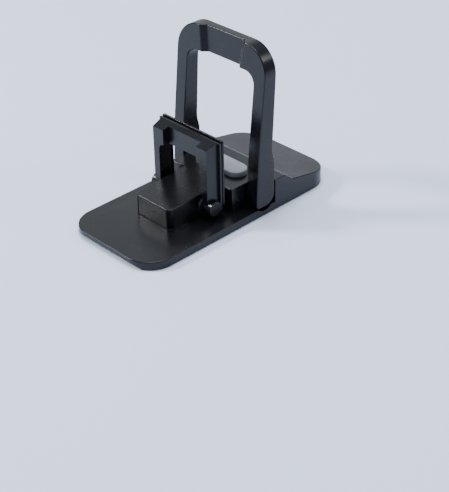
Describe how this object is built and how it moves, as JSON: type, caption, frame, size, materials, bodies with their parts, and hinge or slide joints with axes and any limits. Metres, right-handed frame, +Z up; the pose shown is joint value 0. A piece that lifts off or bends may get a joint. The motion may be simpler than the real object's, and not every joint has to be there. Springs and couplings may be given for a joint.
{
  "type": "folding phone stand",
  "caption": "Pocket phone stand: a thin foot with a ramp, a tall arch with a notched crossbar and a small frame, both folding flat round a raised tongue.",
  "frame": {"origin": "middle of the foot's footprint, on the surface that the stand rests on", "axes": "+X across the width, +Y from the thin end towards the ramp end, +Z up"},
  "size_m": [0.038, 0.08, 0.0554],
  "materials": {
    "black_plastic": "satin, fine moulded grain",
    "grey_silicone": "smooth matt silicone",
    "black_rubber": "matt, anti-slip",
    "steel": "plain zinc-plated",
    "nylon": "matt nylon"
  },
  "bodies": {
    "base": {"main_body": "black_plastic", "rest_pad": "grey_silicone", "bottom_cover": "black_plastic", "foot_pad": "black_rubber", "cover_screw_1": "steel", "cover_screw_2": "steel", "cover_screw_3": "steel", "cover_screw_4": "steel", "cover_screw_5": "steel", "arch_spring_washer_right": "steel", "arch_spacer_right": "nylon", "arch_spring_washer_left": "steel", "arch_spacer_left": "nylon", "frame_spring_washer_right": "steel", "frame_spacer_right": "nylon", "frame_spring_washer_left": "steel", "frame_spacer_left": "nylon"},
    "arch": {"arch": "black_plastic", "arch_pin_right": "steel", "arch_clip_right": "steel", "arch_pin_left": "steel", "arch_clip_left": "steel"},
    "small_frame": {"small_frame": "black_plastic", "small_frame_cover": "black_plastic", "frame_pin_right": "steel", "frame_clip_right": "steel", "frame_pin_left": "steel", "frame_clip_left": "steel"}
  },
  "joints": [
    {"name": "arch_fold", "type": "hinge", "parent": "base", "child": "arch", "pos_m": [0, 0.0085, 0.0065], "axis": [1, 0, 0], "range_deg": [0, 93]},
    {"name": "small_frame_fold", "type": "hinge", "parent": "base", "child": "small_frame", "pos_m": [0, -0.0073, 0.0068], "axis": [1, 0, 0], "range_deg": [-25, 92.5]}
  ]
}
